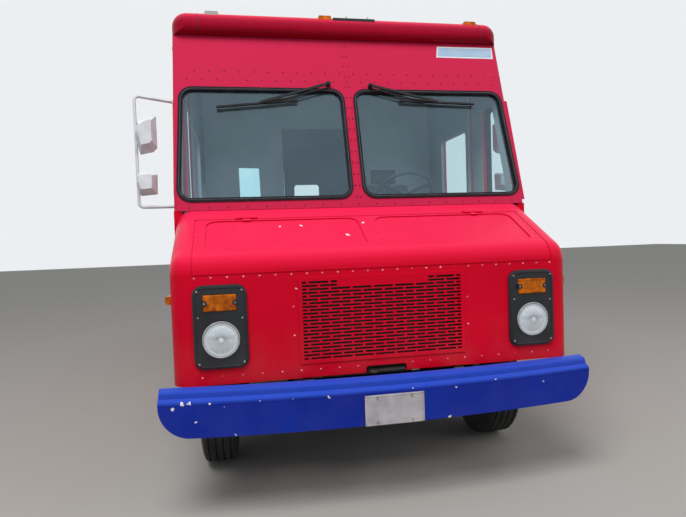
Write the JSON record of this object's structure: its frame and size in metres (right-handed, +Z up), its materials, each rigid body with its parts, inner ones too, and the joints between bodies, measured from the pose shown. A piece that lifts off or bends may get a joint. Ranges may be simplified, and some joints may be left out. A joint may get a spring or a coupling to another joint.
{
  "type": "walk-in step van food truck",
  "caption": "Walk-in step van food truck with sloping nose, slotted grille, split windscreen, sliding cab doors, serving hatch and shelf, rear doors and twin rear wheels.",
  "frame": {"origin": "on the ground, under the middle of the truck's length and width", "axes": "+X towards the driver's side, -Y forwards, +Z up"},
  "size_m": [2.5989, 6.1, 2.804],
  "materials": {
    "red_paint": "gloss red",
    "blue_paint": "gloss blue",
    "black_paint": "satin black",
    "chassis_black": "oily black",
    "wheel_paint": "grey enamel",
    "tyre": "rubber",
    "black_rubber": "satin",
    "clear_glass": "clear, slightly grey",
    "lamp_glass": "fluted clear lens",
    "amber_plastic": "translucent amber",
    "red_plastic": "translucent red",
    "mirror_steel": "white enamel and steel",
    "steel": "brushed",
    "dark_plastic": "grained",
    "seat_vinyl": "grained vinyl",
    "floor_plate": "chequer plate",
    "lining": "plain sheet"
  },
  "bodies": {
    "truck": {"front_panel": "red_paint", "fenders": "red_paint", "cowl": "red_paint", "grille": "red_paint", "lamp_surrounds": "black_paint", "headlamps": "lamp_glass", "amber_lamps": "amber_plastic", "front_bumper": "blue_paint", "chassis_frame": "chassis_black", "rear_bumper": "black_paint", "floor": "floor_plate", "engine_block": "chassis_black", "fuel_tank": "chassis_black", "exhaust": "chassis_black", "drive_shaft": "chassis_black", "front_axle": "chassis_black", "rear_axle": "chassis_black", "leaf_springs": "chassis_black", "windscreen_panel": "red_paint", "side_wall_left": "red_paint", "side_wall_right": "red_paint", "glass_seals": "black_rubber", "fixed_glass": "clear_glass", "roof": "red_paint", "rear_frame": "red_paint", "tail_lamps": "red_plastic", "mirrors": "mirror_steel", "wipers": "black_paint", "dashboard": "dark_plastic", "driver_seat": "seat_vinyl", "bulkhead": "lining", "kitchen_units": "steel", "step_wells": "floor_plate", "engine_cover": "dark_plastic"},
    "hood": {"hood": "red_paint"},
    "rear_door_left": {"rear_door_left": "red_paint", "rear_glass_left": "clear_glass"},
    "rear_door_right": {"rear_door_right": "red_paint", "rear_glass_right": "clear_glass"},
    "door_left": {"door_left": "red_paint", "door_glass_left": "clear_glass"},
    "door_right": {"door_right": "red_paint", "door_glass_right": "clear_glass"},
    "serving_hatch": {"serving_hatch": "red_paint"},
    "strut_barrels": {"strut_barrels": "steel"},
    "strut_rods": {"strut_rods": "steel"},
    "serving_shelf": {"serving_shelf": "steel"},
    "steering_wheel": {"steering_wheel": "dark_plastic"},
    "knuckle_left": {"knuckle_left": "chassis_black"},
    "knuckle_right": {"knuckle_right": "chassis_black"},
    "tie_rod": {"tie_rod": "chassis_black"},
    "front_wheel_left": {"front_rim_left": "wheel_paint", "front_tyre_left": "tyre"},
    "front_wheel_right": {"front_rim_right": "wheel_paint", "front_tyre_right": "tyre"},
    "rear_wheels_left": {"rear_rims_left": "wheel_paint", "rear_tyres_left": "tyre"},
    "rear_wheels_right": {"rear_rims_right": "wheel_paint", "rear_tyres_right": "tyre"}
  },
  "joints": [
    {"name": "hood_hinge", "type": "hinge", "parent": "truck", "child": "hood", "pos_m": [0, -2.506, 1.48379], "axis": [-1, 0, 0], "range_deg": [0, 50]},
    {"name": "door_left_slide", "type": "slide", "parent": "truck", "child": "door_left", "axis": [0, 1, 0], "range_m": [0, 0.64]},
    {"name": "door_right_slide", "type": "slide", "parent": "truck", "child": "door_right", "axis": [0, 1, 0], "range_m": [0, 0.64]},
    {"name": "rear_door_left_hinge", "type": "hinge", "parent": "truck", "child": "rear_door_left", "pos_m": [0.705, 2.94, 1.6], "axis": [0, 0, -1], "range_deg": [0, 180]},
    {"name": "rear_door_right_hinge", "type": "hinge", "parent": "truck", "child": "rear_door_right", "pos_m": [-0.705, 2.94, 1.6], "axis": [0, 0, 1], "range_deg": [0, 180]},
    {"name": "hatch_hinge", "type": "hinge", "parent": "truck", "child": "serving_hatch", "pos_m": [-1.097, 0.603, 2.425], "axis": [0, 1, 0], "range_deg": [0, 90]},
    {"name": "strut_swing", "type": "hinge", "parent": "truck", "child": "strut_barrels", "pos_m": [-0.99, -0.215, 1.7], "axis": [0, -1, 0], "range_deg": [0, 40]},
    {"name": "strut_slide", "type": "slide", "parent": "strut_barrels", "child": "strut_rods", "axis": [0, 0, 1], "range_m": [0, 0.3]},
    {"name": "shelf_hinge", "type": "hinge", "parent": "truck", "child": "serving_shelf", "pos_m": [-1.1055, 0.603, 1.598], "axis": [0, 1, 0], "range_deg": [0, 90]},
    {"name": "steer_left", "type": "hinge", "parent": "truck", "child": "knuckle_left", "pos_m": [0.735, -2.137, 0.375], "axis": [0, 0, 1], "range_deg": [-32, 32]},
    {"name": "steer_right", "type": "hinge", "parent": "truck", "child": "knuckle_right", "pos_m": [-0.735, -2.137, 0.375], "axis": [0, 0, 1], "range_deg": [-32, 32]},
    {"name": "tie_rod_shift", "type": "slide", "parent": "truck", "child": "tie_rod", "axis": [-1, 0, 0], "range_m": [-0.09, 0.09]},
    {"name": "steering_wheel_turn", "type": "hinge", "parent": "truck", "child": "steering_wheel", "pos_m": [0.43, -1.912, 1.64], "axis": [0, 0.6768, 0.7362], "range_deg": [-460, 460]},
    {"name": "front_wheel_left_spin", "type": "hinge", "parent": "knuckle_left", "child": "front_wheel_left", "pos_m": [0.885, -2.137, 0.375], "axis": [1, 0, 0], "continuous": true},
    {"name": "front_wheel_right_spin", "type": "hinge", "parent": "knuckle_right", "child": "front_wheel_right", "pos_m": [-0.885, -2.137, 0.375], "axis": [1, 0, 0], "continuous": true},
    {"name": "rear_wheels_left_spin", "type": "hinge", "parent": "truck", "child": "rear_wheels_left", "pos_m": [0.822, 1.241, 0.375], "axis": [1, 0, 0], "continuous": true},
    {"name": "rear_wheels_right_spin", "type": "hinge", "parent": "truck", "child": "rear_wheels_right", "pos_m": [-0.822, 1.241, 0.375], "axis": [1, 0, 0], "continuous": true}
  ],
  "couplings": [
    {"joint": "strut_swing", "follows": "hatch_hinge", "ratio": 0.33349},
    {"joint": "strut_slide", "follows": "hatch_hinge", "m_per_rad": 0.15196},
    {"joint": "steer_right", "follows": "steer_left", "ratio": 1},
    {"joint": "tie_rod_shift", "follows": "steer_left", "m_per_rad": 0.15},
    {"joint": "steering_wheel_turn", "follows": "steer_left", "ratio": 14}
  ]
}
